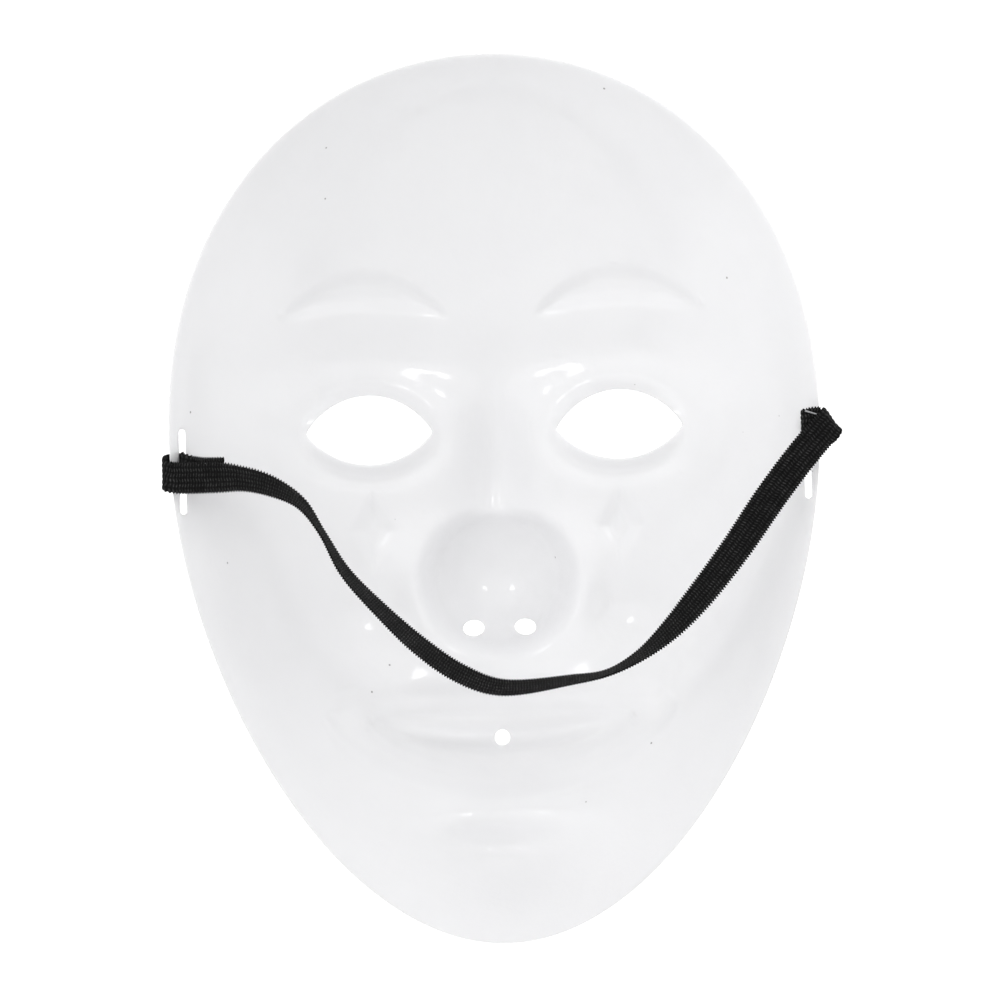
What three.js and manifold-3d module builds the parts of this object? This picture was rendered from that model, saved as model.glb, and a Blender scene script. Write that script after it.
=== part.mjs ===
// Clown mask: a thin moulded face shell with a flat elastic strap, whose ends are held by wire staples.
// Millimetres, +Z up. The face looks along +Y and its hollow opens towards -Y.
// The origin is on the inner side of the bridge of the nose, where the mask rests on its wearer.

import * as THREE from "three";
import { mergeVertices } from "three/addons/utils/BufferGeometryUtils.js";
import Module from "manifold-3d";

const wasm = await Module();
wasm.setup();

// Driving sizes

const HEIGHT = 230; // edge of the forehead to edge of the chin
const WIDTH = 166; // temple to temple
const WALL = 1; // thickness of the shell
const BOW = 45; // how far the face bows out from its edge
const ROUNDNESS = 0.93; // of the bow: nearer 1 is steeper at the edge
const SIDE_BACK = 12; // how far the sides run back behind the forehead and the chin
const TAPER = 0.16; // egg outline: share by which it widens upwards and narrows downwards

const BAND_WIDTH = 8; // of the elastic strap
const BAND_THICK = 0.9;
const BAND_CHAMFER = 0.2;
const WIRE = 0.5; // diameter of a staple's wire
const GAP = 0.3; // clear space round the wire

const SLOT_X = 80.1; // middle of a strap slot, out from the middle of the face
const SLOT_Z = 9;
const SLOT_WIDE = 1.6;
const SLOT_LONG = 22;

// Fineness of the meshes

const RINGS = 13; // of the first coarse mesh, from the tip of the nose to the edge
const STRAY = 0.3; // an edge of the mesh that leaves the face by more than this is halved
const SHORTEST = 3; // edges shorter than this stay whole
const BAND_STEPS_PER_ROW = 3;
const WIRE_SIDES = 6;

// Face lines: thirds of the height from the top edge down, fifths of the width

const HALF_HEIGHT = HEIGHT / 2;
const HALF_WIDTH = WIDTH / 2;
const THIRD = HEIGHT / 3;
const FIFTH = WIDTH / 5;
const BROW_Z = HALF_HEIGHT - THIRD;
const EYE_Z = BROW_Z - 0.26 * THIRD;
const NOSE_Z = BROW_Z - THIRD; // under the nose
const MOUTH_Z = NOSE_Z - THIRD / 3;
const EYE_X = FIFTH;

const BALL_R = 0.5 * FIFTH + 1.4; // ball nose, one fifth wide
const BALL_Z = NOSE_Z + BALL_R - 1;
const BALL_OUT = 3; // its middle, in front of the bow
const BALL_CAP = THREE.MathUtils.degToRad(70); // angle from its tip at which the ball runs out as a cone
const BALL_BLEND = 6; // fillet where the ball meets the face

// Soft rounded relief; a row with x above 0 stands on both sides

const RELIEF = [
  { form: "brow", x: 30, z: BROW_Z - 2, across: 26, up: 9, rise: 3.6 },
  { form: "eye socket", x: EYE_X, z: EYE_Z - 1, across: 21, up: 14, rise: -8 },
  { form: "cheek", x: 43, z: NOSE_Z + 5, across: 20, up: 17, rise: 8.5 },
  { form: "temple", x: 68, z: EYE_Z + 22, across: 16, up: 26, rise: -2.5 },
  { form: "smile fold", x: 37, z: MOUTH_Z + 8, across: 7, up: 12, rise: -2.6 },
  { form: "side of the nose", x: 21, z: NOSE_Z + 14, across: 7, up: 14, rise: -2.5 },
  { form: "forehead", x: 26, z: BROW_Z + 34, across: 26, up: 24, rise: 1.5 },
  { form: "root of the nose", x: 0, z: EYE_Z + 2, across: 9, up: 20, rise: 3 },
  { form: "bridge of the nose", x: 0, z: EYE_Z - 16, across: 9.5, up: 18, rise: 8 },
  { form: "muzzle", x: 0, z: MOUTH_Z + 2, across: 33, up: 20, rise: 5 },
  { form: "dip under the lip", x: 0, z: MOUTH_Z - 20, across: 20, up: 5.5, rise: -4.5 },
  { form: "chin", x: 0, z: MOUTH_Z - 33, across: 24, up: 16, rise: 12 },
];

// Raised clown marks: crescents that bend by arch towards their ends, and diamonds

const CRESCENTS = [
  { form: "brow mark", x: EYE_X, z: BROW_Z + 18, reach: 22, thick: 6.4, arch: -7, rise: 2.2, ramp: 5 },
  { form: "mouth mark", x: 0, z: MOUTH_Z, reach: 47, thick: 16.5, arch: 8.5, rise: 1.8, ramp: 6 },
];
const DIAMOND = { x: EYE_X, z: EYE_Z - 26, across: 7.5, up: 13, rise: 1.8, ramp: 0.75 };

const LID = { across: 20.5, up: 14, crest: 0.86, spread: 0.22, rise: 2.2 };
const LIPS = { reach: 35, smile: 5, smileAt: 34, parting: 2.4, partingWide: 2.4 };
const LIP_ROWS = [
  { form: "upper lip", offset: 4.8, thin: 1.6, full: 2.8, rise: 2.6 },
  { form: "lower lip", offset: -5.4, thin: 1.6, full: 3.2, rise: 3.4 },
];

// Holes cut straight through the shell along Y

const EYE_HOLE = { reach: 16.5, above: 10, below: 8.5, power: 0.8, steps: 14 };
const ROUND_HOLES = [
  { hole: "right nostril", x: 7, z: NOSE_Z + 3.5, across: 2.9, up: 2.1 },
  { hole: "left nostril", x: -7, z: NOSE_Z + 3.5, across: 2.9, up: 2.1 },
  { hole: "breathing hole", x: 0, z: MOUTH_Z, across: 2.1, up: 2.1 },
];

// Route of the strap's middle line, from the cut end of the left tail to the cut end of the right tail.
// lean turns the band's upper edge to the left, dip turns it into the hollow, both in degrees.

const STRAP_ROUTE = [
  // left tail, out through the slot and round the edge
  { x: -69.6, y: -8.7, z: 8.5, lean: 0, dip: 0 },
  { x: -76, y: -12.5, z: 8.7, lean: 0, dip: 0 },
  { x: -79.4, y: -13, z: 9.7, lean: 0, dip: 0 },
  { x: -80.4, y: -5, z: 10.2, lean: 0, dip: 0 },
  { x: -81.3, y: -4.4, z: 10.1, lean: 0, dip: 0 },
  { x: -83.4, y: -8, z: 9.6, lean: 0, dip: 0 },
  { x: -84.6, y: -13.6, z: 8.9, lean: 0, dip: 0 },
  { x: -84.2, y: -15.7, z: 8.2, lean: 0, dip: 0 },
  { x: -82.8, y: -16.4, z: 7.6, lean: 0, dip: 0 },
  { x: -77, y: -14.5, z: 7.4, lean: 0, dip: 0 },
  { x: -72, y: -12.6, z: 7.4, lean: -2, dip: 10 },
  // free run, hanging across the hollow
  { x: -65.4, y: -10.2, z: 7, lean: -8, dip: 38 },
  { x: -57.8, y: -8, z: 4.9, lean: -22, dip: 51 },
  { x: -50.2, y: -6.5, z: 0.3, lean: -45, dip: 70 },
  { x: -44.9, y: -6, z: -7.6, lean: -58, dip: 81 },
  { x: -39.4, y: -6, z: -17.6, lean: -54, dip: 72 },
  { x: -30.5, y: -6, z: -27.7, lean: -45, dip: 64 },
  { x: -20.4, y: -6, z: -37.4, lean: -38, dip: 55 },
  { x: -10.4, y: -6, z: -44.6, lean: -28, dip: 54 },
  { x: -0.3, y: -6.5, z: -48.4, lean: -9, dip: 60 },
  { x: 19, y: -7.5, z: -46.8, lean: 8, dip: 75 },
  { x: 27.3, y: -8, z: -45.4, lean: 20, dip: 81 },
  { x: 35.8, y: -9, z: -41.1, lean: 36, dip: 72 },
  { x: 43.7, y: -10, z: -34.6, lean: 45, dip: 52 },
  { x: 51.5, y: -11.5, z: -26.1, lean: 49, dip: 33 },
  { x: 60.9, y: -13.5, z: -14.2, lean: 52, dip: 20 },
  { x: 70.2, y: -15.8, z: -1, lean: 52, dip: 3 },
  { x: 78, y: -17.4, z: 9, lean: 50, dip: 0 },
  // round the right edge, back through the slot and into the right tail
  { x: 84.4, y: -17.8, z: 16.3, lean: 42, dip: 0 },
  { x: 85.6, y: -17.1, z: 17.7, lean: 34, dip: 0 },
  { x: 86, y: -15.4, z: 18, lean: 30, dip: 0 },
  { x: 85.5, y: -13.1, z: 16, lean: 25, dip: 0 },
  { x: 82.6, y: -5.7, z: 15.3, lean: 8, dip: 0 },
  { x: 81.3, y: -4.4, z: 15, lean: 2, dip: 0 },
  { x: 80.4, y: -5, z: 14.9, lean: 0, dip: 0 },
  { x: 80, y: -9.5, z: 15, lean: 0, dip: 0 },
  { x: 78.7, y: -13.6, z: 16.4, lean: 0, dip: 0 },
  { x: 78.8, y: -15.4, z: 17, lean: 0, dip: 0 },
  { x: 80.4, y: -16.1, z: 17.2, lean: 0, dip: 0 },
  { x: 83.3, y: -16.1, z: 17.3, lean: 0, dip: 0 },
];

// Staples: the crown runs from one leg to the other, and both legs point along the leg direction

const STAPLES = [
  { name: "staple_left", from: [-74.9, -11.1, 6.9], to: [-74.9, -11.1, 10.9], leg: [1.5, -4, 0], long: 2.3 },
  { name: "staple_right", from: [79.4, -16.85, 20.3], to: [82.6, -16.85, 19.2], leg: [0, 1, 0], long: 2 },
];

// Face surface

// Half width of the egg outline at its widest line, before it is brought to WIDTH.
const WIDEST_SINE = (Math.sqrt(1 + 8 * TAPER ** 2) - 1) / (4 * TAPER);
const WIDEST = Math.sqrt(1 - WIDEST_SINE ** 2) * (1 + TAPER * WIDEST_SINE);

function eggPoint(angle) {
  const rise = Math.sin(angle);
  const x = (HALF_WIDTH * Math.cos(angle) * (1 + TAPER * rise)) / WIDEST;
  return { x, z: HALF_HEIGHT * rise };
}

function smoothStep(share) {
  return THREE.MathUtils.smoothstep(share, 0, 1);
}

function bell(u, v = 0) {
  return Math.exp(-(u ** 2) - v ** 2);
}

// The plain bow of the shell: 0 at the edge of the forehead, BOW in the middle.
function bow(x, z) {
  const halfWidthHere = (HALF_WIDTH * (1 + (TAPER * z) / HALF_HEIGHT)) / WIDEST;
  const share = (x / halfWidthHere) ** 2 + (z / HALF_HEIGHT) ** 2;
  const edge = Math.sqrt(1 - ROUNDNESS ** 2);
  const dome = Math.sqrt(Math.max(1 - ROUNDNESS ** 2 * share, 0));
  return (BOW * (dome - edge)) / (1 - edge) - SIDE_BACK * (x / HALF_WIDTH) ** 2;
}

function relief(x, z) {
  let rise = 0;
  for (const row of RELIEF) {
    const sides = row.x > 0 ? [-1, 1] : [1];
    for (const side of sides) {
      rise += row.rise * bell((x - side * row.x) / row.across, (z - row.z) / row.up);
    }
  }
  return rise;
}

function lids(x, z) {
  const away = Math.hypot((Math.abs(x) - EYE_X) / LID.across, (z - EYE_Z) / LID.up);
  return LID.rise * bell((away - LID.crest) / LID.spread);
}

function marks(x, z) {
  let rise = 0;
  for (const row of CRESCENTS) {
    const along = (Math.abs(x) - row.x) / row.reach;
    const half = row.thick * Math.sqrt(Math.max(1 - along ** 2, 0));
    const inside = half - Math.abs(z - row.z - row.arch * along ** 2);
    rise += row.rise * smoothStep(inside / row.ramp);
  }
  const across = Math.abs(Math.abs(x) - DIAMOND.x) / DIAMOND.across;
  const up = Math.abs(z - DIAMOND.z) / DIAMOND.up;
  return rise + DIAMOND.rise * smoothStep((1 - across - up) / DIAMOND.ramp);
}

function lips(x, z) {
  const full = Math.max(1 - (x / LIPS.reach) ** 2, 0);
  const line = MOUTH_Z + LIPS.smile * (x / LIPS.smileAt) ** 2;
  let rise = -LIPS.parting * bell((z - line) / LIPS.partingWide);
  for (const lip of LIP_ROWS) {
    const middle = line + lip.offset * full;
    rise += lip.rise * bell((z - middle) / (lip.thin + lip.full * full));
  }
  return rise * Math.sqrt(full);
}

function ballNose(x, z) {
  const away = Math.hypot(x, z - BALL_Z);
  const capReach = BALL_R * Math.sin(BALL_CAP);
  const middle = bow(0, BALL_Z) + BALL_OUT;
  if (away < capReach) return middle + Math.sqrt(BALL_R ** 2 - away ** 2);
  return middle + BALL_R * Math.cos(BALL_CAP) - Math.tan(BALL_CAP) * (away - capReach);
}

// Depth of the outer side of the shell.
function outerDepth(x, z) {
  const face = bow(x, z) + relief(x, z) + lids(x, z) + marks(x, z) + lips(x, z);
  const ball = ballNose(x, z);
  const overlap = Math.max(BALL_BLEND - Math.abs(face - ball), 0) / BALL_BLEND;
  return Math.max(face, ball) + (overlap ** 2 * BALL_BLEND) / 4;
}

// Depth of the inner side: one wall behind the outer side, measured square to the surface.
function innerDepth(x, z) {
  const step = 0.05;
  const slopeX = (outerDepth(x + step, z) - outerDepth(x - step, z)) / (2 * step);
  const slopeZ = (outerDepth(x, z + step) - outerDepth(x, z - step)) / (2 * step);
  return outerDepth(x, z) - WALL * Math.hypot(1, slopeX, slopeZ);
}

// Mesh helpers

function meshGeometry(points, triangles) {
  const geometry = new THREE.BufferGeometry();
  geometry.setAttribute("position", new THREE.Float32BufferAttribute(points.flat(), 3));
  geometry.setIndex(triangles.flat());
  return geometry;
}

function toSolid(geometry) {
  const bare = geometry.clone();
  bare.deleteAttribute("normal");
  bare.deleteAttribute("uv");
  const welded = mergeVertices(bare, 1e-5);
  const mesh = new wasm.Mesh({
    numProp: 3,
    vertProperties: new Float32Array(welded.attributes.position.array),
    triVerts: new Uint32Array(welded.index.array),
  });
  return new wasm.Manifold(mesh);
}

function toGeometry(solid) {
  const mesh = solid.getMesh();
  const geometry = new THREE.BufferGeometry();
  geometry.setAttribute("position", new THREE.BufferAttribute(new Float32Array(mesh.vertProperties), 3));
  geometry.setIndex(new THREE.BufferAttribute(new Uint32Array(mesh.triVerts), 1));
  return geometry;
}

// A closed solid through a row of rings that all have the same number of points.
function loft(rings) {
  const sides = rings[0].length;
  const points = rings.flat().map((point) => point.toArray());
  const triangles = [];
  for (let ring = 0; ring < rings.length - 1; ring++) {
    for (let side = 0; side < sides; side++) {
      const a = ring * sides + side;
      const b = ring * sides + ((side + 1) % sides);
      triangles.push([a, b, b + sides], [a, b + sides, a + sides]);
    }
  }
  const last = (rings.length - 1) * sides;
  for (let side = 1; side < sides - 1; side++) {
    triangles.push([0, side + 1, side], [last, last + side, last + side + 1]);
  }
  return meshGeometry(points, triangles);
}

// Shell: a mesh in X and Z that both sides of the wall share

// Even triangles in six sectors: each ring round the tip of the nose has six points more than the last.
function coarseMesh() {
  const points = [{ x: 0, z: BALL_Z }];
  const triangles = [];
  const at = (ring, step) => (ring === 0 ? 0 : 1 + 3 * ring * (ring - 1) + (step % (6 * ring)));
  for (let ring = 1; ring <= RINGS; ring++) {
    for (let step = 0; step < 6 * ring; step++) {
      const rim = eggPoint((step / (6 * ring)) * 2 * Math.PI);
      const share = ring / RINGS;
      points.push({ x: rim.x * share, z: BALL_Z + (rim.z - BALL_Z) * share });
    }
    for (let step = 0; step < 6 * ring; step++) {
      const near = step - Math.floor(step / ring);
      triangles.push([at(ring - 1, near), at(ring, step + 1), at(ring, step)]);
      if (step % ring === ring - 1) continue;
      triangles.push([at(ring - 1, near), at(ring - 1, near + 1), at(ring, step + 1)]);
    }
  }
  return { points, triangles };
}

function edgeLength(a, b) {
  return Math.hypot(a.x - b.x, a.z - b.z);
}

// True when the middle of an edge leaves the face, measured square to the edge.
function straysFromFace(a, b) {
  const length = edgeLength(a, b);
  const [near, far] = [outerDepth(a.x, a.z), outerDepth(b.x, b.z)];
  const stray = Math.abs(outerDepth((a.x + b.x) / 2, (a.z + b.z) / 2) - (near + far) / 2);
  return length > SHORTEST && (stray * length) / Math.hypot(length, far - near) > STRAY;
}

const edgeKey = (a, b) => (a < b ? `${a} ${b}` : `${b} ${a}`);
const edgesOf = ([a, b, c]) => [[a, b], [b, c], [c, a]];

// Halves each edge that strays and the longest edge of its triangles. Gives null when no edge strays.
function halveEdges({ points, triangles }) {
  const middles = new Map();
  const mark = (a, b) => {
    if (middles.has(edgeKey(a, b))) return false;
    const middle = { x: (points[a].x + points[b].x) / 2, z: (points[a].z + points[b].z) / 2 };
    middles.set(edgeKey(a, b), points.push(middle) - 1);
    return true;
  };
  const length = ([a, b]) => edgeLength(points[a], points[b]);
  for (const [a, b] of triangles.flatMap(edgesOf)) {
    if (straysFromFace(points[a], points[b])) mark(a, b);
  }
  if (middles.size === 0) return null;
  let grown = true;
  while (grown) {
    grown = false;
    for (const edges of triangles.map(edgesOf)) {
      if (!edges.some(([a, b]) => middles.has(edgeKey(a, b)))) continue;
      const longest = edges.reduce((one, other) => (length(other) > length(one) ? other : one));
      if (mark(...longest)) grown = true;
    }
  }
  const split = ([a, b, c]) => {
    const [ab, bc, ca] = edgesOf([a, b, c]).map((edge) => middles.get(edgeKey(...edge)));
    if (ab === undefined) return bc === undefined && ca === undefined ? [[a, b, c]] : split([b, c, a]);
    if (bc === undefined && ca === undefined) return [[a, ab, c], [ab, b, c]];
    if (bc === undefined) return split([c, a, b]);
    if (ca === undefined) return [[ab, b, bc], [a, ab, bc], [a, bc, c]];
    return [[a, ab, ca], [ab, b, bc], [ca, bc, c], [ab, bc, ca]];
  };
  return { points, triangles: triangles.flatMap(split) };
}

function shellBlank() {
  let mesh = coarseMesh();
  for (let finer = halveEdges(mesh); finer; finer = halveEdges(mesh)) mesh = finer;
  const outer = mesh.points.map(({ x, z }) => [x, outerDepth(x, z), z]);
  const inner = mesh.points.map(({ x, z }) => [x, innerDepth(x, z), z]);
  const count = outer.length;
  const back = mesh.triangles.map(([a, b, c]) => [a + count, c + count, b + count]);
  const directed = mesh.triangles.flatMap(edgesOf);
  const known = new Set(directed.map(([a, b]) => `${a} ${b}`));
  const rim = directed.filter(([a, b]) => !known.has(`${b} ${a}`));
  const edge = rim.flatMap(([a, b]) => [[b, a, a + count], [b, a + count, b + count]]);
  return meshGeometry([...outer, ...inner], [...mesh.triangles, ...back, ...edge]);
}

// A cutter with the given outline in X and Z that runs the whole depth of the mask.
function cutter(outline) {
  const shape = new THREE.Shape(outline.map(([x, z]) => new THREE.Vector2(x, z)));
  const depth = 2 * BOW + 2 * SIDE_BACK;
  const prism = new THREE.ExtrudeGeometry(shape, { depth, bevelEnabled: false });
  prism.rotateX(Math.PI / 2);
  prism.translate(0, 2 * BOW, 0);
  return toSolid(prism);
}

function eyeOutline(side) {
  const { reach, above, below, power, steps } = EYE_HOLE;
  const outline = [];
  for (let step = 0; step < 2 * steps; step++) {
    const angle = (step / steps) * Math.PI;
    const along = Math.cos(angle);
    const height = (1 - along ** 2) ** power * (step < steps ? above : -below);
    outline.push([side * (EYE_X + reach * along), EYE_Z + height]);
  }
  return outline;
}

function ovalOutline({ x, z, across, up }, steps = 16) {
  const angles = Array.from({ length: steps }, (_, step) => (step / steps) * 2 * Math.PI);
  return angles.map((angle) => [x + across * Math.cos(angle), z + up * Math.sin(angle)]);
}

function slotOutline(side) {
  const shape = new THREE.Shape();
  const half = SLOT_WIDE / 2;
  const straight = SLOT_LONG / 2 - half;
  shape.absarc(side * SLOT_X, SLOT_Z + straight, half, 0, Math.PI, false);
  shape.absarc(side * SLOT_X, SLOT_Z - straight, half, Math.PI, 2 * Math.PI, false);
  return shape.getPoints(4).map((point) => [point.x, point.y]);
}

function maskShell() {
  const outlines = ROUND_HOLES.map((hole) => ovalOutline(hole));
  for (const side of [-1, 1]) outlines.push(eyeOutline(side), slotOutline(side));
  let shell = toSolid(shellBlank());
  for (const outline of outlines) shell = shell.subtract(cutter(outline));
  return toGeometry(shell);
}

// Strap and staples

function wireLoop({ from, to, leg, long }, radius) {
  const start = new THREE.Vector3(...from);
  const end = new THREE.Vector3(...to);
  const down = new THREE.Vector3(...leg).setLength(long);
  const across = end.clone().sub(start).normalize();
  const side = across.clone().cross(down).normalize();
  const bend = WIRE;
  const stops = [
    start.clone().add(down),
    start.clone().addScaledVector(down, bend / long),
    start.clone().addScaledVector(across, bend),
    end.clone().addScaledVector(across, -bend),
    end.clone().addScaledVector(down, bend / long),
    end.clone().add(down),
  ];
  const rings = stops.map((stop, index) => {
    const before = stops[Math.max(index - 1, 0)];
    const after = stops[Math.min(index + 1, stops.length - 1)];
    const ahead = after.clone().sub(before).normalize();
    const up = ahead.clone().cross(side);
    return Array.from({ length: WIRE_SIDES }, (_, step) => {
      const angle = (step / WIRE_SIDES) * 2 * Math.PI;
      const point = stop.clone().addScaledVector(side, radius * Math.cos(angle));
      return point.addScaledVector(up, radius * Math.sin(angle));
    });
  });
  return loft(rings);
}

function bandBlank() {
  const smooth = (points) => new THREE.CatmullRomCurve3(points);
  const line = smooth(STRAP_ROUTE.map(({ x, y, z }) => new THREE.Vector3(x, y, z)));
  const turn = smooth(STRAP_ROUTE.map(({ lean, dip }) => new THREE.Vector3(lean, dip, 0)));
  const wide = BAND_WIDTH / 2;
  const thick = BAND_THICK / 2;
  const flat = wide - BAND_CHAMFER;
  const side = thick - BAND_CHAMFER;
  const upperHalf = [[wide, side], [flat, thick], [-flat, thick], [-wide, side]];
  const section = [...upperHalf, ...upperHalf.map(([a, b]) => [-a, -b])];
  const steps = (STRAP_ROUTE.length - 1) * BAND_STEPS_PER_ROW;
  const rings = [];
  for (let step = 0; step <= steps; step++) {
    const middle = line.getPoint(step / steps);
    const ahead = line.getTangent(step / steps);
    const turned = turn.getPoint(step / steps);
    const lean = THREE.MathUtils.degToRad(turned.x);
    const dip = THREE.MathUtils.degToRad(turned.y);
    const across = new THREE.Vector3(-Math.sin(lean), Math.tan(dip), Math.cos(lean));
    across.addScaledVector(ahead, -across.dot(ahead)).normalize();
    const out = ahead.clone().cross(across);
    rings.push(section.map(([a, b]) => middle.clone().addScaledVector(across, a).addScaledVector(out, b)));
  }
  return loft(rings);
}

function elasticStrap() {
  let band = toSolid(bandBlank());
  for (const staple of STAPLES) {
    const hole = { ...staple, long: staple.long + GAP };
    band = band.subtract(toSolid(wireLoop(hole, WIRE / 2 + GAP)));
  }
  return toGeometry(band);
}

// Assembly, moved so that the seat on the bridge of the nose is the origin

const PLASTIC = new THREE.MeshStandardMaterial({ color: 0xe9e9eb, roughness: 0.3 });
const ELASTIC = new THREE.MeshStandardMaterial({ color: 0x101011, roughness: 0.9 });
const STEEL = new THREE.MeshStandardMaterial({ color: 0xb9bcc0, roughness: 0.3, metalness: 1 });

const group = new THREE.Group();
group.name = "clown_mask";

function addPart(name, geometry, material) {
  geometry.translate(0, -innerDepth(0, EYE_Z), -EYE_Z);
  geometry.computeVertexNormals();
  const mesh = new THREE.Mesh(geometry, material);
  mesh.name = name;
  group.add(mesh);
}

addPart("mask_shell", maskShell(), PLASTIC);
addPart("elastic_strap", elasticStrap(), ELASTIC);
for (const staple of STAPLES) addPart(staple.name, wireLoop(staple, WIRE / 2), STEEL);

export default group;
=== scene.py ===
"""Clown mask seen from behind: a thin glossy plastic shell and its hanging flat elastic strap.

Sizes are millimetres in the mask's own frame, where y is 0 at the edge of the forehead and the chin.
to_row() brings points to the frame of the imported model, in metres.
"""

import math

import bpy
import numpy as np
from mathutils import Matrix, Vector
from mathutils.geometry import delaunay_2d_cdt


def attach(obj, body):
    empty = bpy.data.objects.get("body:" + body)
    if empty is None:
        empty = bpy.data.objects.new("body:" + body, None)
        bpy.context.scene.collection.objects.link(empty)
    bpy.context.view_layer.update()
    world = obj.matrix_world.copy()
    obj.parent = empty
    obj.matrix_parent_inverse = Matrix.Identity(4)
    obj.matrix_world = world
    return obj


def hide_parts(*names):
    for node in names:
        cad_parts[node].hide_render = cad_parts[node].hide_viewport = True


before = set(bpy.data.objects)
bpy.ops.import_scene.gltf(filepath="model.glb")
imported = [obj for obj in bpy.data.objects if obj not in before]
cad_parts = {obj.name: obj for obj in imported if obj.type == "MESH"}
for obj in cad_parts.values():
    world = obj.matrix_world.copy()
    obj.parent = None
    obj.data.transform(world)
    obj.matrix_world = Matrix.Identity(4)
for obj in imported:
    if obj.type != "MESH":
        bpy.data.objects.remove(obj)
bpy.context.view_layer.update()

# Shell sizes, as in the part

HEIGHT = 230.0
WIDTH = 166.0
WALL = 1.0
BOW = 45.0
ROUNDNESS = 0.93
SIDE_BACK = 12.0
TAPER = 0.16

HALF_HEIGHT = HEIGHT / 2
HALF_WIDTH = WIDTH / 2
THIRD = HEIGHT / 3
FIFTH = WIDTH / 5
BROW_Z = HALF_HEIGHT - THIRD
EYE_Z = BROW_Z - 0.26 * THIRD
NOSE_Z = BROW_Z - THIRD
MOUTH_Z = NOSE_Z - THIRD / 3
EYE_X = FIFTH

BALL_R = 0.5 * FIFTH + 1.4
BALL_Z = NOSE_Z + BALL_R - 1
BALL_OUT = 3.0
BALL_CAP = math.radians(70)
BALL_BLEND = 6.0

# Soft rounded relief: x, z, across, up, rise. A row with x above 0 stands on both sides.

RELIEF = {
    "brow": (30, BROW_Z - 2, 26, 9, 3.6),
    "eye socket": (EYE_X, EYE_Z - 1, 21, 14, -8),
    "cheek": (43, NOSE_Z + 5, 20, 17, 8.5),
    "temple": (68, EYE_Z + 22, 16, 26, -2.5),
    "smile fold": (37, MOUTH_Z + 8, 7, 12, -2.6),
    "side of the nose": (21, NOSE_Z + 14, 7, 14, -2.5),
    "forehead": (26, BROW_Z + 34, 26, 24, 1.5),
    "root of the nose": (0, EYE_Z + 2, 9, 20, 3),
    "bridge of the nose": (0, EYE_Z - 16, 9.5, 18, 8),
    "muzzle": (0, MOUTH_Z + 2, 33, 20, 5),
    "dip under the lip": (0, MOUTH_Z - 20, 20, 5.5, -4.5),
    "chin": (0, MOUTH_Z - 33, 24, 16, 12),
}

# Raised crescents: x, z, reach, thick, arch, rise, ramp

CRESCENTS = {
    "brow mark": (EYE_X, BROW_Z + 18, 22, 6.4, -7, 2.2, 5),
    "mouth mark": (0, MOUTH_Z, 47, 16.5, 8.5, 1.8, 6),
}
DIAMOND = {"x": EYE_X, "z": EYE_Z - 26, "across": 7.5, "up": 13, "rise": 1.8, "ramp": 0.75}
LID = {"across": 20.5, "up": 14, "crest": 0.86, "spread": 0.22, "rise": 2.2}
LIPS = {"reach": 35, "smile": 5, "smile_at": 34, "parting": 2.4, "parting_wide": 2.4}

# Lips: offset, thin, full, rise

LIP_ROWS = {
    "upper lip": (4.8, 1.6, 2.8, 2.6),
    "lower lip": (-5.4, 1.6, 3.2, 3.4),
}

# Holes

EYE_HOLE = {"reach": 16.5, "above": 10.0, "below": 8.5, "power": 0.8}
ROUND_HOLES = {
    "right nostril": (7, NOSE_Z + 3.5, 2.9, 2.1),
    "left nostril": (-7, NOSE_Z + 3.5, 2.9, 2.1),
    "breathing hole": (0, MOUTH_Z, 2.1, 2.1),
}
SLOT_X = 80.1
SLOT_Z = 9.0
SLOT_WIDE = 1.6
SLOT_LONG = 22.0

# Fineness of the shell's mesh

LATTICE = 1.0  # distance between neighbouring points
RIM_STEP = 0.9  # along the edge of the shell
EYE_STEP = 0.63  # along the edge of an eye hole
ROUND_HOLE_STEP = 0.45  # along the edge of a nostril and of the breathing hole
SLOT_STEP = 0.4  # along the edge of a strap slot
FEWEST_STEPS = 24  # along any edge
CLEAR_OF_EDGE = 0.6  # from the inner points to an edge, as a share of LATTICE
EDGE_ROUND = ((0.30, 0.0), (0.09, 0.09), (0.0, 0.30))  # inset and depth of the rounded edge's loops
RIM_SAMPLES = 2000  # points of an outline before they are set an even step apart
EYE_SAMPLES = 400
OVAL_SAMPLES = 100
ARC_SAMPLES = 13

# Strap: width, thickness and stitches of the elastic

BAND_WIDTH = 8.0
BAND_THICK = 0.9
WALES = 6  # knitted rows along the band
WALE_STEPS = 3
STITCH = 0.74  # length of a stitch
STITCH_STEPS = 6
STITCH_SLANT = 1.3  # how far a stitch leads at one side of its row and trails at the other, as an angle
FLOOR_HEIGHT = 0.50  # of the ground between the rows, as a share of half the thickness
ROW_HEIGHT = 0.24  # of a row above the ground, as such a share
STITCH_HEIGHT = 0.26  # of the stitches above and below their row, as such a share
EDGE_LOOP = 0.20  # how far the loops of the edge stand out and the gaps between them go in
EDGE_CURL = 0.22  # how far the loops of the edge curl to one face and the gaps between them to the other
FOLD_REACH = 1.5  # length of band on each side within which a fold is felt
FOLD_PINCH = 0.25  # how much narrower each half of the band is in a full fold
FOLD_PULL = 0.6  # how far the corners of a full fold are drawn in

NO_SPAN = 1e-4  # rows of the route closer than this count as equal
ROUTE_SAMPLES = 8000  # points of the route before they are set an even step apart

# Route of the strap's middle line: x, y, z, lean, dip.
# lean turns the band's upper edge to the left, dip turns it into the hollow, both in degrees.

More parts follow.
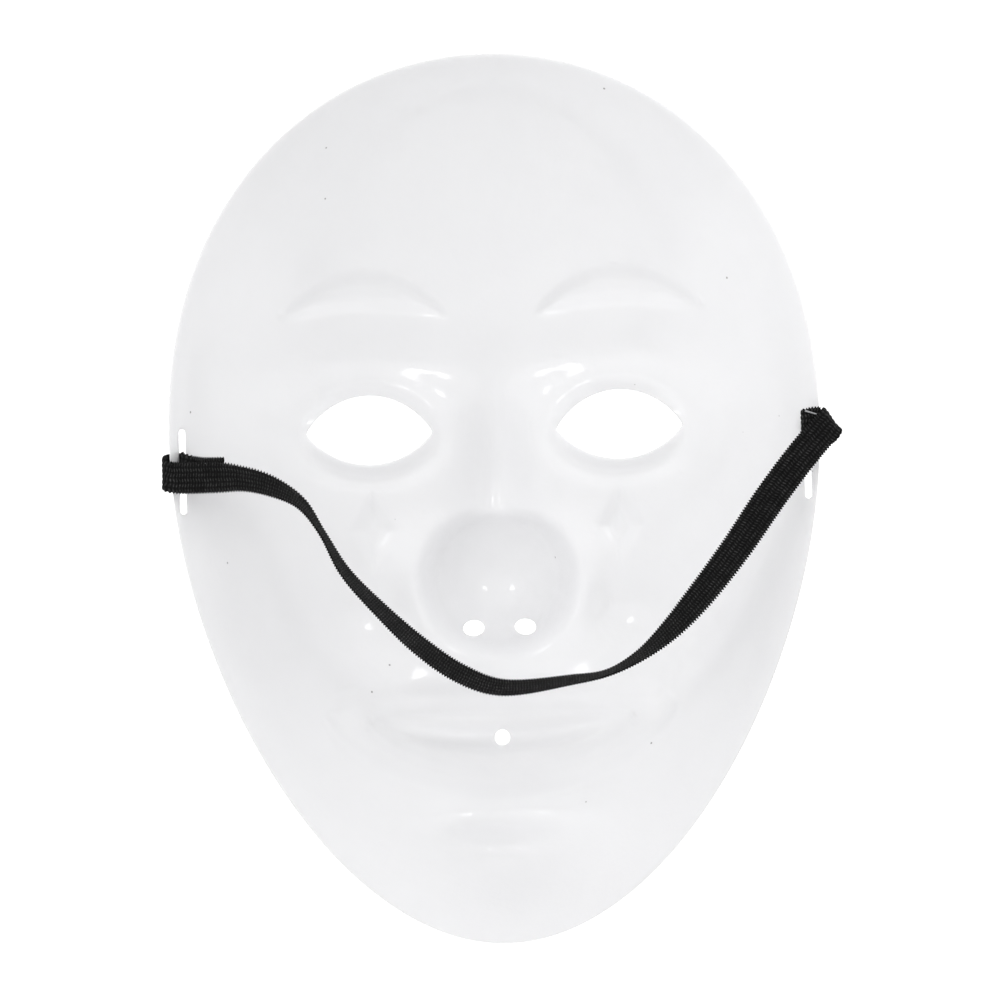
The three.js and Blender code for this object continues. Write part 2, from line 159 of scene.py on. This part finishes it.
STRAP_ROUTE = [
    # left tail, out through the slot and round the edge
    (-69.6, -8.7, 8.5, 0, 0),
    (-76, -12.5, 8.7, 0, 0),
    (-79.4, -13, 9.7, 0, 0),
    (-80.4, -5, 10.2, 0, 0),
    (-81.3, -4.4, 10.1, 0, 0),
    (-83.4, -8, 9.6, 0, 0),
    (-84.6, -13.6, 8.9, 0, 0),
    (-84.2, -15.7, 8.2, 0, 0),
    (-82.8, -16.4, 7.6, 0, 0),
    (-77, -14.5, 7.4, 0, 0),
    (-72, -12.6, 7.4, -2, 10),
    # free run, hanging across the hollow
    (-65.4, -10.2, 7, -8, 38),
    (-57.8, -8, 4.9, -22, 51),
    (-50.2, -6.5, 0.3, -45, 70),
    (-44.9, -6, -7.6, -58, 81),
    (-39.4, -6, -17.6, -54, 72),
    (-30.5, -6, -27.7, -45, 64),
    (-20.4, -6, -37.4, -38, 55),
    (-10.4, -6, -44.6, -28, 54),
    (-0.3, -6.5, -48.4, -9, 60),
    (19, -7.5, -46.8, 8, 75),
    (27.3, -8, -45.4, 20, 81),
    (35.8, -9, -41.1, 36, 72),
    (43.7, -10, -34.6, 45, 52),
    (51.5, -11.5, -26.1, 49, 33),
    (60.9, -13.5, -14.2, 52, 20),
    (70.2, -15.8, -1, 52, 3),
    (78, -17.4, 9, 50, 0),
    # round the right edge, back through the slot and into the right tail
    (84.4, -17.8, 16.3, 42, 0),
    (85.6, -17.1, 17.7, 34, 0),
    (86, -15.4, 18, 30, 0),
    (85.5, -13.1, 16, 25, 0),
    (82.6, -5.7, 15.3, 8, 0),
    (81.3, -4.4, 15, 2, 0),
    (80.4, -5, 14.9, 0, 0),
    (80, -9.5, 15, 0, 0),
    (78.7, -13.6, 16.4, 0, 0),
    (78.8, -15.4, 17, 0, 0),
    (80.4, -16.1, 17.2, 0, 0),
    (83.3, -16.1, 17.3, 0, 0),
]

# Staples: the crown runs from one leg to the other, and both legs point along the leg direction

WIRE = 0.5  # diameter
WIRE_SIDES = 14
WIRE_BEND_STEPS = 6
STAPLES = {
    "staple_left": {
        "from": (-74.9, -11.1, 6.9),
        "to": (-74.9, -11.1, 10.9),
        "leg": (1.5, -4, 0),
        "long": 2.3,
    },
    "staple_right": {
        "from": (79.4, -16.85, 20.3),
        "to": (82.6, -16.85, 19.2),
        "leg": (0, 1, 0),
        "long": 2.0,
    },
}

# Photograph: where the camera stands

CAMERA_BACK = 1100.0  # behind the edge of the forehead
FRAME_WIDE = 258.4  # seen at the depth of that edge
CAMERA_ROLL = math.radians(1.5)
AIM_X = 1.0  # the middle of the picture, on the mask
AIM_Z = -0.3
SENSOR = 36.0

# The floor is so far below and so wide that the camera looks over it from behind the mask,
# and that it fills the picture from higher up.

FLOOR_BELOW = 1650.0  # under the middle of the mask
FLOOR_RADIUS = 12550.0
FLOOR_SIDES = 96

# Lamps: place, width in metres, power in watts

LAMPS = {
    "softbox_left": ((-520, -1000, 380), 0.2, 0.6),
    "softbox_right": ((520, -1000, 380), 0.2, 0.6),
    "softbox_top": ((0, -850, 700), 0.15, 0.12),
    "front_key": ((900, 700, 750), 0.5, 8.0),
    "front_fill": ((-900, 700, 400), 0.5, 2.5),
}

# Tone of the room by its direction along y: -1 is behind the camera, and 1 is what it looks at

ROOM_TONES = [(-1, 1.0), (-0.2, 0.95), (0.4, 0.26), (0.9, 0.26), (0.98, 1.0)]
ROOM_STRENGTH = 1.24

# Face surface

WIDEST_SINE = (math.sqrt(1 + 8 * TAPER**2) - 1) / (4 * TAPER)
WIDEST = math.sqrt(1 - WIDEST_SINE**2) * (1 + TAPER * WIDEST_SINE)


def egg_points(angles):
    rise = np.sin(angles)
    x = HALF_WIDTH * np.cos(angles) * (1 + TAPER * rise) / WIDEST
    return np.column_stack([x, HALF_HEIGHT * rise])


def smooth_step(share):
    share = np.clip(share, 0, 1)
    return share * share * (3 - 2 * share)


def bell(u, v=0.0):
    return np.exp(-(u**2) - v**2)


def egg_share(x, z):
    """0 in the middle of the egg outline and 1 on it."""
    half_width_here = HALF_WIDTH * (1 + TAPER * z / HALF_HEIGHT) / WIDEST
    return (x / half_width_here) ** 2 + (z / HALF_HEIGHT) ** 2


def bow(x, z):
    edge = math.sqrt(1 - ROUNDNESS**2)
    dome = np.sqrt(np.maximum(1 - ROUNDNESS**2 * egg_share(x, z), 0))
    return BOW * (dome - edge) / (1 - edge) - SIDE_BACK * (x / HALF_WIDTH) ** 2


def relief(x, z):
    total = np.zeros_like(x)
    for at_x, at_z, across, up, rise in RELIEF.values():
        for side in (-1, 1) if at_x > 0 else (1,):
            total += rise * bell((x - side * at_x) / across, (z - at_z) / up)
    return total


def lids(x, z):
    away = np.hypot((np.abs(x) - EYE_X) / LID["across"], (z - EYE_Z) / LID["up"])
    return LID["rise"] * bell((away - LID["crest"]) / LID["spread"])


def marks(x, z):
    total = np.zeros_like(x)
    for at_x, at_z, reach, thick, arch, rise, ramp in CRESCENTS.values():
        along = (np.abs(x) - at_x) / reach
        half = thick * np.sqrt(np.maximum(1 - along**2, 0))
        inside = half - np.abs(z - at_z - arch * along**2)
        total += rise * smooth_step(inside / ramp)
    across = np.abs(np.abs(x) - DIAMOND["x"]) / DIAMOND["across"]
    up = np.abs(z - DIAMOND["z"]) / DIAMOND["up"]
    return total + DIAMOND["rise"] * smooth_step((1 - across - up) / DIAMOND["ramp"])


def lips(x, z):
    full = np.maximum(1 - (x / LIPS["reach"]) ** 2, 0)
    line = MOUTH_Z + LIPS["smile"] * (x / LIPS["smile_at"]) ** 2
    total = -LIPS["parting"] * bell((z - line) / LIPS["parting_wide"])
    for offset, thin, fuller, rise in LIP_ROWS.values():
        total = total + rise * bell((z - line - offset * full) / (thin + fuller * full))
    return total * np.sqrt(full)


def ball_nose(x, z):
    away = np.hypot(x, z - BALL_Z)
    cap_reach = BALL_R * math.sin(BALL_CAP)
    middle = bow(np.zeros(1), np.full(1, BALL_Z))[0] + BALL_OUT
    cap = np.sqrt(np.maximum(BALL_R**2 - away**2, 0))
    cone = BALL_R * math.cos(BALL_CAP) - math.tan(BALL_CAP) * (away - cap_reach)
    return middle + np.where(away < cap_reach, cap, cone)


def outer_depth(x, z):
    face = bow(x, z) + relief(x, z) + lids(x, z) + marks(x, z) + lips(x, z)
    ball = ball_nose(x, z)
    overlap = np.maximum(BALL_BLEND - np.abs(face - ball), 0) / BALL_BLEND
    return np.maximum(face, ball) + overlap**2 * BALL_BLEND / 4


def wall_depth(x, z):
    """Thickness of the wall along y: WALL is measured square to the surface."""
    step = 0.05
    slope_x = (outer_depth(x + step, z) - outer_depth(x - step, z)) / (2 * step)
    slope_z = (outer_depth(x, z + step) - outer_depth(x, z - step)) / (2 * step)
    return WALL * np.sqrt(1 + slope_x**2 + slope_z**2)


def inner_depth(x, z):
    return outer_depth(x, z) - wall_depth(x, z)


SEAT = np.array([0, inner_depth(np.zeros(1), np.full(1, EYE_Z))[0], EYE_Z])


def to_row(points):
    return (np.asarray(points, float) - SEAT) / 1000


# Mesh helpers


def new_object(name, points, faces):
    mesh = bpy.data.meshes.new(name)
    mesh.from_pydata(to_row(points).tolist(), [], faces)
    mesh.update()
    mesh.shade_smooth()
    piece = bpy.data.objects.new(name, mesh)
    bpy.context.scene.collection.objects.link(piece)
    return piece


def ring_faces(rings, sides):
    """Quads between rings of points that follow each other, and a fan on each end."""
    faces = []
    for ring in range(rings - 1):
        start = ring * sides
        for side in range(sides):
            after = (side + 1) % sides
            faces.append((start + side, start + after, start + sides + after, start + sides + side))
    last = (rings - 1) * sides
    faces.append(tuple(range(sides - 1, -1, -1)))
    faces.append(tuple(range(last, last + sides)))
    return faces


# Shell


def even_loop(points, step):
    """The closed outline with points an even step apart."""
    closed = np.vstack([points, points[:1]])
    lengths = np.concatenate([[0], np.cumsum(np.hypot(*np.diff(closed, axis=0).T))])
    count = max(int(lengths[-1] / step), FEWEST_STEPS)
    at = np.linspace(0, lengths[-1], count, endpoint=False)
    return np.column_stack([np.interp(at, lengths, closed[:, axis]) for axis in (0, 1)])


def eye_loop(side):
    angles = np.linspace(0, 2 * math.pi, EYE_SAMPLES, endpoint=False)
    along = np.cos(angles)
    reach = np.where(angles < math.pi, EYE_HOLE["above"], -EYE_HOLE["below"])
    height = np.maximum(1 - along**2, 0) ** EYE_HOLE["power"] * reach
    return np.column_stack([side * EYE_X + EYE_HOLE["reach"] * along, EYE_Z + height])


def oval_loop(x, z, across, up):
    angles = np.linspace(0, 2 * math.pi, OVAL_SAMPLES, endpoint=False)
    return np.column_stack([x + across * np.cos(angles), z + up * np.sin(angles)])


def slot_loop(side):
    half = SLOT_WIDE / 2
    straight = SLOT_LONG / 2 - half
    angles = np.linspace(0, math.pi, ARC_SAMPLES)
    arc = half * np.column_stack([np.cos(angles), np.sin(angles)])
    middle = np.array([side * SLOT_X, SLOT_Z])
    return np.vstack([middle + arc + [0, straight], middle - arc - [0, straight]])


def inset_loop(loop, into):
    """The loop moved to its left by into. Loops run with the plastic on their left."""
    ahead = np.roll(loop, -1, axis=0) - np.roll(loop, 1, axis=0)
    ahead /= np.linalg.norm(ahead, axis=1, keepdims=True)
    return loop + into * np.column_stack([-ahead[:, 1], ahead[:, 0]])


def shell_loops():
    angles = np.linspace(0, 2 * math.pi, RIM_SAMPLES, endpoint=False)
    rim = even_loop(egg_points(angles), RIM_STEP)
    holes = [even_loop(oval_loop(*row), ROUND_HOLE_STEP) for row in ROUND_HOLES.values()]
    for side in (-1, 1):
        holes.append(even_loop(eye_loop(side), EYE_STEP))
        holes.append(even_loop(slot_loop(side), SLOT_STEP))
    return [rim] + [hole[::-1] for hole in holes]


def lattice_points(loops):
    """Even points on the plastic, clear of every edge loop."""
    rows = np.arange(-HALF_HEIGHT, HALF_HEIGHT, LATTICE * math.sqrt(3) / 2)
    points = []
    for number, z in enumerate(rows):
        shift = 0.5 * LATTICE * (number % 2)
        x = np.arange(-HALF_WIDTH, HALF_WIDTH, LATTICE) + shift
        points.append(np.column_stack([x, np.full_like(x, z)]))
    points = np.vstack(points)
    points = points[egg_share(points[:, 0], points[:, 1]) < 1]
    for loop in loops:
        low = loop.min(axis=0) - 2 * LATTICE
        high = loop.max(axis=0) + 2 * LATTICE
        near = np.all((points > low) & (points < high), axis=1)
        ahead = np.roll(loop, -1, axis=0) - loop
        keep = np.ones(len(points), bool)
        for chunk in np.array_split(np.flatnonzero(near), 40):
            away = points[chunk, None, :] - loop[None, :, :]
            share = np.clip((away * ahead).sum(2) / (ahead**2).sum(1), 0, 1)
            gap = away - share[:, :, None] * ahead
            distance = np.hypot(gap[..., 0], gap[..., 1])
            closest = distance.argmin(axis=1)
            which = np.arange(len(chunk))
            turn = ahead[closest, 0] * away[which, closest, 1] - ahead[closest, 1] * away[which, closest, 0]
            keep[chunk] = (turn > 0) & (distance[which, closest] > CLEAR_OF_EDGE * LATTICE)
        points = points[keep]
    return points


def make_shell():
    """Two skins on the same flat triangles, joined by a rounded edge along the rim and each hole."""
    edge_loops = shell_loops()
    loops = [inset_loop(loop, EDGE_ROUND[0][0]) for loop in edge_loops]
    flat = np.vstack(loops + [lattice_points(loops)])
    owner = np.full(len(flat), -1)
    edges = []
    start = 0
    for number, loop in enumerate(loops):
        count = len(loop)
        owner[start : start + count] = number
        edges += [(start + step, start + (step + 1) % count) for step in range(count)]
        start += count
    result = delaunay_2d_cdt([Vector(point) for point in flat], edges, [], 0, 1e-6, False)
    triangles = np.array(result[2])
    owners = owner[triangles]
    # A triangle with all its corners on one loop lies off the plastic.
    off = (owners[:, 0] >= 0) & (owners[:, 0] == owners[:, 1]) & (owners[:, 1] == owners[:, 2])
    triangles = triangles[~off]
    x, z = flat.T
    outer = np.column_stack([x, outer_depth(x, z), z])
    inner = np.column_stack([x, inner_depth(x, z), z])
    points = [outer, inner]
    count = len(flat)
    faces = [tuple(face) for face in triangles[:, ::-1].tolist()]
    faces += [tuple(face) for face in (triangles + count).tolist()]
    total = 2 * count
    start = 0
    for loop in edge_loops:
        length = len(loop)
        rows = [np.arange(start, start + length)]
        profile = [(inset, deep, 0) for inset, deep in EDGE_ROUND[1:]]
        profile += [(inset, -deep, 1) for inset, deep in EDGE_ROUND[:0:-1]]
        for inset, deep, inside in profile:
            moved = inset_loop(loop, inset)
            depth = outer_depth(*moved.T) - deep
            if inside:
                depth = inner_depth(*moved.T) - deep
            points.append(np.column_stack([moved[:, 0], depth, moved[:, 1]]))
            rows.append(np.arange(total, total + length))
            total += length
        rows.append(np.arange(start + count, start + count + length))
        for above, below in zip(rows, rows[1:]):
            quads = np.column_stack([above, np.roll(above, -1), np.roll(below, -1), below])
            faces += [tuple(face) for face in quads.tolist()]
        start += length
    return new_object("shell", np.vstack(points), faces)


# Strap and staples


def smooth_curve(rows, places):
    """Centripetal Catmull-Rom curve through rows. A place of 2.5 is halfway from row 2 to row 3."""
    rows = np.asarray(rows, float)
    padded = np.vstack([2 * rows[0] - rows[1], rows, 2 * rows[-1] - rows[-2]])
    spans = np.sum(np.diff(padded, axis=0) ** 2, axis=1) ** 0.25
    at = np.minimum(places.astype(int), len(rows) - 2)
    share = (places - at)[:, None]
    before, near, far, beyond = (padded[at + step] for step in range(4))
    middle = np.where(spans[at + 1] < NO_SPAN, 1.0, spans[at + 1])
    first = np.where(spans[at] < NO_SPAN, middle, spans[at])
    last = np.where(spans[at + 2] < NO_SPAN, middle, spans[at + 2])
    first, middle, last = (span[:, None] for span in (first, middle, last))
    leave = (near - before) / first - (far - before) / (first + middle) + (far - near) / middle
    reach = (far - near) / middle - (beyond - near) / (middle + last) + (beyond - far) / last
    leave = leave * middle
    reach = reach * middle
    square = -3 * near + 3 * far - 2 * leave - reach
    cube = 2 * near - 2 * far + leave + reach
    return near + leave * share + square * share**2 + cube * share**3


def band_frame(step):
    """Points of the middle line an even step apart, the directions along and across it, and its length."""
    route = np.array(STRAP_ROUTE, float)
    places = np.linspace(0, len(route) - 1, ROUTE_SAMPLES)
    line = smooth_curve(route[:, :3], places)
    lengths = np.concatenate([[0], np.cumsum(np.linalg.norm(np.diff(line, axis=0), axis=1))])
    count = int(lengths[-1] / step)
    at = np.interp(np.linspace(0, lengths[-1], count + 1), lengths, places)
    middle = smooth_curve(route[:, :3], at)
    ahead = np.gradient(middle, axis=0)
    ahead /= np.linalg.norm(ahead, axis=1, keepdims=True)
    lean, dip = np.radians(smooth_curve(route[:, 3:], at)).T
    across = np.column_stack([-np.sin(lean), np.tan(dip), np.cos(lean)])
    across -= np.sum(across * ahead, axis=1, keepdims=True) * ahead
    across /= np.linalg.norm(across, axis=1, keepdims=True)
    return middle, ahead, across, lengths[-1]


def folds(ahead):
    """Vectors to the inside of each bend: no length where the band is straight, and 1 in a full fold."""
    here = np.arange(len(ahead))
    reach = round(FOLD_REACH / STITCH * STITCH_STEPS)
    before = ahead[np.maximum(here - reach, 0)]
    after = ahead[np.minimum(here + reach, len(ahead) - 1)]
    return (after - before) / 2


def make_strap():
    """The knitted band with its stitches, its middle line and its length, both in metres."""
    middle, ahead, across, length = band_frame(STITCH / STITCH_STEPS)
    out = np.cross(ahead, across)
    fold = folds(ahead)
    # turn goes once round for each stitch along the band, and share goes from -1 to 1 across it.
    turn = 2 * math.pi * np.arange(len(middle))[:, None] / STITCH_STEPS
    share = np.linspace(-1, 1, WALES * WALE_STEPS + 1)
    row_place = (share + 1) / 2 * WALES
    zigzag = 2 * np.abs(row_place % 2 - 1) - 1
    rib = 1 - zigzag**2
    wave = np.cos(turn - STITCH_SLANT * zigzag)
    stitch = wave * (0.5 + 0.5 * rib)
    relief_share = FLOOR_HEIGHT + ROW_HEIGHT * rib + STITCH_HEIGHT * stitch
    height = BAND_THICK / 2 * relief_share * (1 - share**8) ** 0.25
    loop = 1 - 2 * np.abs(np.sin((turn - STITCH_SLANT * zigzag) / 2)) ** 3
    half = BAND_WIDTH / 2 - FOLD_PINCH * np.linalg.norm(fold, axis=1)[:, None]
    wide = share * (half + EDGE_LOOP * loop * share**6)
    flat = middle[:, None, :] + wide[:, :, None] * across[:, None, :]
    flat = flat + FOLD_PULL * (share**4)[None, :, None] * fold[:, None, :]
    flat = flat + (EDGE_CURL * share**15 * wave)[:, :, None] * out[:, None, :]
    lift = height[:, :, None] * out[:, None, :]
    points = np.concatenate([flat + lift, (flat - lift)[:, -2:0:-1, :]], axis=1)
    faces = ring_faces(*points.shape[:2])
    strap = new_object("strap", points.reshape(-1, 3), [face[::-1] for face in faces])
    # Each point's stitch height is kept for the elastic's colour, which paints shade into the low gaps
    # between the yarns and paints light onto the stitch crests.
    crest = np.concatenate([relief_share, relief_share[:, -2:0:-1]], axis=1)
    attribute = strap.data.attributes.new("stitch_height_for_painted_shade", "FLOAT", "POINT")
    attribute.data.foreach_set("value", crest.ravel())
    return strap, to_row(middle), length / 1000


def make_staple(name, row):
    start = np.array(row["from"], float)
    end = np.array(row["to"], float)
    down = np.array(row["leg"], float)
    down /= np.linalg.norm(down)
    along = (end - start) / np.linalg.norm(end - start)
    side = np.cross(along, down)
    side /= np.linalg.norm(side)
    angles = np.linspace(0, math.pi / 2, WIRE_BEND_STEPS)[:, None]
    inward = WIRE * (1 - np.sin(angles)) * along
    drop = WIRE * (1 - np.cos(angles)) * down
    tip = down * row["long"]
    line = np.vstack([start + tip, (start + inward + drop)[::-1], end - inward + drop, end + tip])
    ahead = np.gradient(line, axis=0)
    ahead /= np.linalg.norm(ahead, axis=1, keepdims=True)
    up = np.cross(ahead, side)
    turns = np.linspace(0, 2 * math.pi, WIRE_SIDES, endpoint=False)
    ring = [WIRE / 2 * (math.cos(turn) * side + math.sin(turn) * up) for turn in turns]
    points = np.stack([line + offset for offset in ring], axis=1)
    return new_object(name + "_wire", points.reshape(-1, 3), ring_faces(len(line), WIRE_SIDES))


# Materials


def new_material(name):
    material = bpy.data.materials.new(name)
    material.use_nodes = True
    tree = material.node_tree
    return material, tree, tree.nodes["Principled BSDF"]


def add_node(tree, kind, **values):
    node = tree.nodes.new(kind)
    for key, value in values.items():
        if key in node.inputs:
            node.inputs[key].default_value = value
        else:
            setattr(node, key, value)
    return node


def ramp_node(tree, stops):
    node = tree.nodes.new("ShaderNodeValToRGB")
    while len(node.color_ramp.elements) < len(stops):
        node.color_ramp.elements.new(0.5)
    for element, (place, colour) in zip(node.color_ramp.elements, stops):
        element.position = place
        element.color = (*colour, 1)
    return node


def plastic_material():
    material, tree, shader = new_material("white_plastic")
    link = tree.links.new
    place = add_node(tree, "ShaderNodeTexCoord")
    cloud = add_node(tree, "ShaderNodeTexNoise", Scale=28.0, Detail=3.0)
    tint = ramp_node(tree, [(0.3, (0.80, 0.80, 0.815)), (0.7, (0.825, 0.825, 0.84))])
    link(place.outputs["Object"], cloud.inputs["Vector"])
    link(cloud.outputs["Fac"], tint.inputs["Fac"])
    speck = add_node(tree, "ShaderNodeTexVoronoi", Scale=75.0)
    dot = ramp_node(tree, [(0.018, (0.25, 0.24, 0.23)), (0.026, (1, 1, 1))])
    mix = add_node(tree, "ShaderNodeMix", data_type="RGBA", blend_type="MULTIPLY")
    mix.inputs["Factor"].default_value = 0.8
    link(place.outputs["Object"], speck.inputs["Vector"])
    link(speck.outputs["Distance"], dot.inputs["Fac"])
    link(tint.outputs["Color"], mix.inputs["A"])
    link(dot.outputs["Color"], mix.inputs["B"])
    link(mix.outputs["Result"], shader.inputs["Base Color"])
    haze = add_node(tree, "ShaderNodeTexNoise", Scale=90.0, Detail=4.0)
    gloss = add_node(tree, "ShaderNodeMapRange", **{"To Min": 0.06, "To Max": 0.14})
    link(place.outputs["Object"], haze.inputs["Vector"])
    link(haze.outputs["Fac"], gloss.inputs["Value"])
    link(gloss.outputs["Result"], shader.inputs["Roughness"])
    wave = add_node(tree, "ShaderNodeTexNoise", Scale=130.0, Detail=5.0, Roughness=0.6)
    bump = add_node(tree, "ShaderNodeBump", Strength=0.3, Distance=0.0004)
    link(place.outputs["Object"], wave.inputs["Vector"])
    link(wave.outputs["Fac"], bump.inputs["Height"])
    link(bump.outputs["Normal"], shader.inputs["Normal"])
    shader.inputs["Subsurface Weight"].default_value = 1.0
    shader.inputs["Subsurface Radius"].default_value = (1.0, 1.0, 1.0)
    shader.inputs["Subsurface Scale"].default_value = 0.003
    return material


def elastic_material():
    material, tree, shader = new_material("black_elastic")
    link = tree.links.new
    place = add_node(tree, "ShaderNodeTexCoord")
    # Painted shade and light: each point's stitch height sets its colour, darker in the low gaps between
    # the yarns and lighter on the stitch crests.
    height = add_node(tree, "ShaderNodeAttribute", attribute_name="stitch_height_for_painted_shade")
    stitch = ramp_node(tree, [(0.3, (0.0006,) * 3), (0.65, (0.0095,) * 3), (0.95, (0.06,) * 3)])
    link(height.outputs["Fac"], stitch.inputs["Fac"])
    yarn = add_node(tree, "ShaderNodeTexNoise", Scale=2500.0, Detail=2.0)
    patch = add_node(tree, "ShaderNodeTexNoise", Scale=260.0, Detail=2.0)
    colour = stitch.outputs["Color"]
    for noise, darkest in ((yarn, 0.25), (patch, 0.6)):
        shade = ramp_node(tree, [(0.4, (darkest,) * 3), (0.62, (1, 1, 1))])
        mix = add_node(tree, "ShaderNodeMix", data_type="RGBA", blend_type="MULTIPLY")
        mix.inputs["Factor"].default_value = 1.0
        link(place.outputs["Object"], noise.inputs["Vector"])
        link(noise.outputs["Fac"], shade.inputs["Fac"])
        link(colour, mix.inputs["A"])
        link(shade.outputs["Color"], mix.inputs["B"])
        colour = mix.outputs["Result"]
    link(colour, shader.inputs["Base Color"])
    bump = add_node(tree, "ShaderNodeBump", Strength=0.4, Distance=0.0001)
    link(yarn.outputs["Fac"], bump.inputs["Height"])
    link(bump.outputs["Normal"], shader.inputs["Normal"])
    shader.inputs["Roughness"].default_value = 0.75
    shader.inputs["Specular IOR Level"].default_value = 0.12
    return material


def steel_material():
    material, tree, shader = new_material("bright_wire")
    link = tree.links.new
    place = add_node(tree, "ShaderNodeTexCoord")
    grain = add_node(tree, "ShaderNodeTexNoise", Scale=1500.0, Detail=2.0)
    tint = ramp_node(tree, [(0.3, (0.30, 0.30, 0.31)), (0.7, (0.46, 0.46, 0.47))])
    gloss = add_node(tree, "ShaderNodeMapRange", **{"To Min": 0.2, "To Max": 0.4})
    link(place.outputs["Object"], grain.inputs["Vector"])
    link(grain.outputs["Fac"], tint.inputs["Fac"])
    link(grain.outputs["Fac"], gloss.inputs["Value"])
    link(tint.outputs["Color"], shader.inputs["Base Color"])
    link(gloss.outputs["Result"], shader.inputs["Roughness"])
    shader.inputs["Metallic"].default_value = 1.0
    return material


# Camera, floor and light


def make_camera():
    camera = bpy.data.objects.new("camera", bpy.data.cameras.new("camera"))
    camera.data.sensor_width = SENSOR
    camera.data.lens = SENSOR * CAMERA_BACK / FRAME_WIDE
    camera.data.clip_end = 50
    right = Vector((math.cos(CAMERA_ROLL), 0, -math.sin(CAMERA_ROLL)))
    up = Vector((math.sin(CAMERA_ROLL), 0, math.cos(CAMERA_ROLL)))
    turn = Matrix((right, up, right.cross(up))).transposed().to_4x4()
    camera.matrix_world = Matrix.Translation(to_row((AIM_X, -CAMERA_BACK, AIM_Z))) @ turn
    bpy.context.scene.collection.objects.link(camera)
    bpy.context.scene.camera = camera


def make_floor():
    bpy.ops.mesh.primitive_circle_add(vertices=FLOOR_SIDES, radius=FLOOR_RADIUS / 1000, fill_type="NGON")
    floor = bpy.context.object
    floor.name = "floor"
    floor.location = to_row((0, 0, -FLOOR_BELOW))
    material, _, shader = new_material("pale_floor")
    shader.inputs["Base Color"].default_value = (0.80, 0.80, 0.80, 1)
    shader.inputs["Roughness"].default_value = 0.9
    floor.data.materials.append(material)


def area_light(name, place, size, power):
    light = bpy.data.objects.new(name, bpy.data.lights.new(name, "AREA"))
    light.data.shape = "DISK"
    light.data.size = size
    light.data.energy = power
    light.location = to_row(place)
    aim = Vector(to_row((0, 0, 0))) - light.location
    light.rotation_euler = aim.to_track_quat("-Z", "Y").to_euler()
    bpy.context.scene.collection.objects.link(light)


def make_room():
    scene = bpy.context.scene
    scene.view_settings.view_transform = "Standard"
    world = bpy.data.worlds.new("white_room")
    world.use_nodes = True
    tree = world.node_tree
    link = tree.links.new
    place = add_node(tree, "ShaderNodeTexCoord")
    direction = add_node(tree, "ShaderNodeSeparateXYZ")
    share = add_node(tree, "ShaderNodeMapRange", **{"From Min": -1.0})
    tone = ramp_node(tree, [((along + 1) / 2, (level, level, level)) for along, level in ROOM_TONES])
    link(place.outputs["Generated"], direction.inputs["Vector"])
    link(direction.outputs["Y"], share.inputs["Value"])
    link(share.outputs["Result"], tone.inputs["Fac"])
    link(tone.outputs["Color"], tree.nodes["Background"].inputs["Color"])
    tree.nodes["Background"].inputs["Strength"].default_value = ROOM_STRENGTH
    scene.world = world


make_camera()
strap, strap_line, strap_length = make_strap()
shell = make_shell()
staples = [make_staple(name, row) for name, row in STAPLES.items()]

finishes = [(shell, plastic_material(), "shell_plastic"), (strap, elastic_material(), "elastic")]
steel = steel_material()
finishes += [(staple, steel, "staple_wire") for staple in staples]
for piece, material, slot in finishes:
    piece.data.materials.append(material)
    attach(piece, "root")

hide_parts("mask_shell")
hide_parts("elastic_strap")
for staple, name in zip(staples, STAPLES):
    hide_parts(name)

make_floor()
make_room()
for name, (place, size, power) in LAMPS.items():
    area_light(name, place, size, power)
